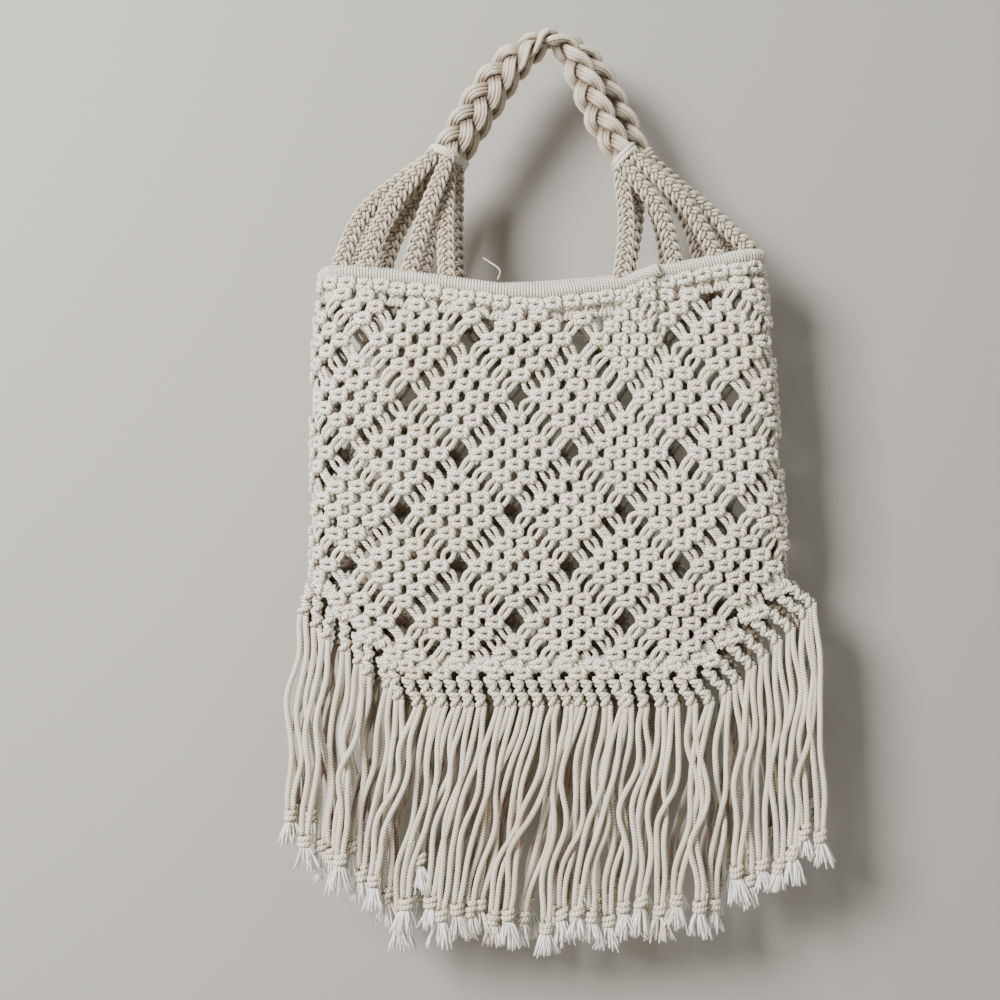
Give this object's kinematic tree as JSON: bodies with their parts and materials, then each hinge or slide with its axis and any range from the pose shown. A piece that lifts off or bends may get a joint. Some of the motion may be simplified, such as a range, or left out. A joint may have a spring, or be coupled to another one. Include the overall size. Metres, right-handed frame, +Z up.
{
  "type": "macrame bag",
  "caption": "Knotted cotton tote with diamonds of square knots, wrapped rim, plaited handles and a long knotted fringe, hanging by its handles.",
  "frame": {"origin": "the point under the grips that the bag hangs on", "axes": "+Z up, the front faces -Y, +X to the right as seen from the front"},
  "size_m": [0.4068, 0.0584, 0.6474],
  "materials": {
    "knotted_cord": "matt twisted cotton, undyed",
    "wrapping_cord": "matt thin cotton cord, wound",
    "plaited_cord": "matt plaited cotton cord",
    "fringe_cord": "matt twisted cotton cord with frayed ends"
  },
  "bodies": {
    "root": {"front_panel": "knotted_cord", "front_left_side": "knotted_cord", "front_right_side": "knotted_cord", "back_panel": "knotted_cord", "rim": "wrapping_cord", "front_grip": "plaited_cord", "back_grip": "plaited_cord", "front_fringe": "fringe_cord", "back_fringe": "fringe_cord", "front_left_braid_1": "plaited_cord", "front_left_braid_2": "plaited_cord", "front_left_braid_3": "plaited_cord", "front_left_braid_4": "plaited_cord", "front_right_braid_1": "plaited_cord", "front_right_braid_2": "plaited_cord", "front_right_braid_3": "plaited_cord", "front_right_braid_4": "plaited_cord", "back_left_braid_1": "plaited_cord", "back_left_braid_2": "plaited_cord", "back_left_braid_3": "plaited_cord", "back_left_braid_4": "plaited_cord", "back_right_braid_1": "plaited_cord", "back_right_braid_2": "plaited_cord", "back_right_braid_3": "plaited_cord", "back_right_braid_4": "plaited_cord", "front_left_tie": "wrapping_cord", "front_right_tie": "wrapping_cord", "back_left_tie": "wrapping_cord", "back_right_tie": "wrapping_cord"}
  },
  "joints": []
}
